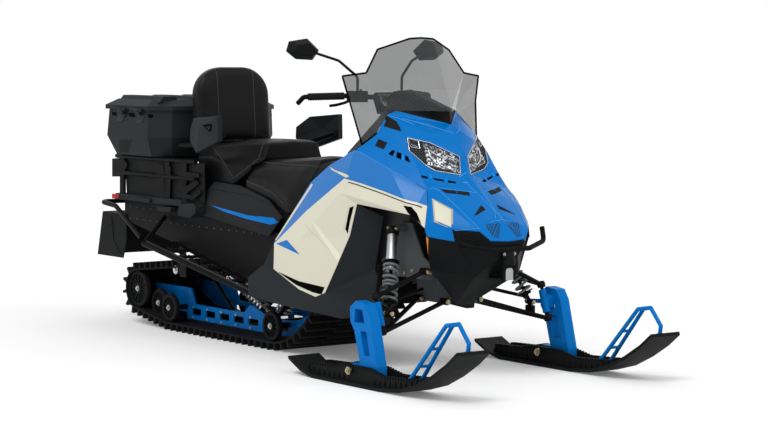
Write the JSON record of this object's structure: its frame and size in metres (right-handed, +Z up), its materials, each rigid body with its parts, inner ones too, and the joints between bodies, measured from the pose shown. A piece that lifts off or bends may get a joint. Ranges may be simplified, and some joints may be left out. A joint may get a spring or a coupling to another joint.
{
  "type": "snowmobile",
  "caption": "Two-seat utility snowmobile with steered skis, a wide track, a tall screen, a backrest and a lidded cargo box.",
  "frame": {"origin": "on the floor, under the middle of the machine's length and width", "axes": "+X forward, +Y to the rider's left, +Z up"},
  "size_m": [3.43, 1.206, 1.455],
  "materials": {
    "track_rubber": "matt, moulded",
    "black_plastic": "grained",
    "dark_plastic": "fine grain",
    "seat_cover": "vinyl, fine grain",
    "blue_paint": "gloss",
    "black_paint": "satin powder coat",
    "bare_metal": "satin",
    "spring_steel": "satin",
    "blue_cowl": "gloss",
    "cream_cowl": "gloss",
    "grey_deck": "fine grain",
    "smoke_screen": "smoke tint",
    "clear_lens": "clear",
    "red_lens": "red",
    "amber_lens": "amber",
    "mirror_glass": "polished",
    "engine_metal": "cast",
    "grip_rubber": "ribbed"
  },
  "bodies": {
    "chassis": {"track": "track_rubber", "rear_idlers": "black_plastic", "lower_idlers": "black_plastic", "drive_shaft": "black_plastic", "slide_rails": "blue_paint", "sliders": "black_plastic", "axle_arms": "blue_paint", "swing_arms": "black_paint", "track_shocks": "spring_steel", "tunnel": "black_paint", "running_boards": "black_paint", "rear_bumper": "black_paint", "hitch": "black_paint", "snow_flap": "black_plastic", "rear_deck": "grey_deck", "tail_lamps": "red_lens", "cargo_rack": "black_paint", "cargo_box": "dark_plastic", "rider_seat": "seat_cover", "passenger_seat": "seat_cover", "seat_base": "black_plastic", "backrest": "seat_cover", "backrest_mount": "black_paint", "hand_guards": "dark_plastic", "seat_fairings": "grey_deck", "side_panel_left": "cream_cowl", "side_panel_right": "cream_cowl", "lower_panels": "black_plastic", "hood": "blue_cowl", "headlamps": "clear_lens", "nose_panel": "black_plastic", "console": "black_plastic", "tank_cover": "black_plastic", "engine_block": "engine_metal", "front_frame": "bare_metal", "upper_arms": "black_paint", "lower_arms": "black_paint", "front_shocks": "spring_steel", "front_bumper": "black_paint", "windshield": "smoke_screen", "post_bearing": "black_paint"},
    "steering": {"steering_post": "black_paint", "handlebar": "black_paint", "grips": "grip_rubber", "control_pods": "black_plastic", "mirrors": "black_plastic"},
    "ski_left": {"spindle_left": "blue_paint", "ski_left": "black_plastic", "ski_handle_left": "blue_paint"},
    "ski_right": {"spindle_right": "blue_paint", "ski_right": "black_plastic", "ski_handle_right": "blue_paint"},
    "tie_rod_left": {"tie_rod_left": "black_paint"},
    "tie_rod_right": {"tie_rod_right": "black_paint"},
    "lid": {"cargo_lid": "dark_plastic"}
  },
  "joints": [
    {"name": "handlebar_steer", "type": "hinge", "parent": "chassis", "child": "steering", "pos_m": [0.424, 0, 1.19], "axis": [-0.4384, 0, 0.8988], "range_deg": [-35, 35]},
    {"name": "ski_left_steer", "type": "hinge", "parent": "chassis", "child": "ski_left", "pos_m": [1.025, 0.458, 0.232], "axis": [-0.3162, 0, 0.9487], "range_deg": [-28, 28]},
    {"name": "ski_right_steer", "type": "hinge", "parent": "chassis", "child": "ski_right", "pos_m": [1.025, -0.458, 0.232], "axis": [-0.3162, 0, 0.9487], "range_deg": [-28, 28]},
    {"name": "tie_rod_left_swing", "type": "hinge", "parent": "ski_left", "child": "tie_rod_left", "pos_m": [0.905, 0.44, 0.286], "axis": [-0.3162, 0, 0.9487], "range_deg": [-28, 28]},
    {"name": "tie_rod_right_swing", "type": "hinge", "parent": "ski_right", "child": "tie_rod_right", "pos_m": [0.905, -0.44, 0.286], "axis": [-0.3162, 0, 0.9487], "range_deg": [-28, 28]},
    {"name": "lid_open", "type": "hinge", "parent": "chassis", "child": "lid", "pos_m": [-1.19, -0.389, 1.098], "axis": [1, 0, 0], "range_deg": [0, 100]}
  ],
  "couplings": [
    {"joint": "ski_left_steer", "follows": "handlebar_steer", "ratio": 0.8},
    {"joint": "ski_right_steer", "follows": "handlebar_steer", "ratio": 0.8},
    {"joint": "tie_rod_left_swing", "follows": "handlebar_steer", "ratio": -0.8},
    {"joint": "tie_rod_right_swing", "follows": "handlebar_steer", "ratio": -0.8}
  ]
}
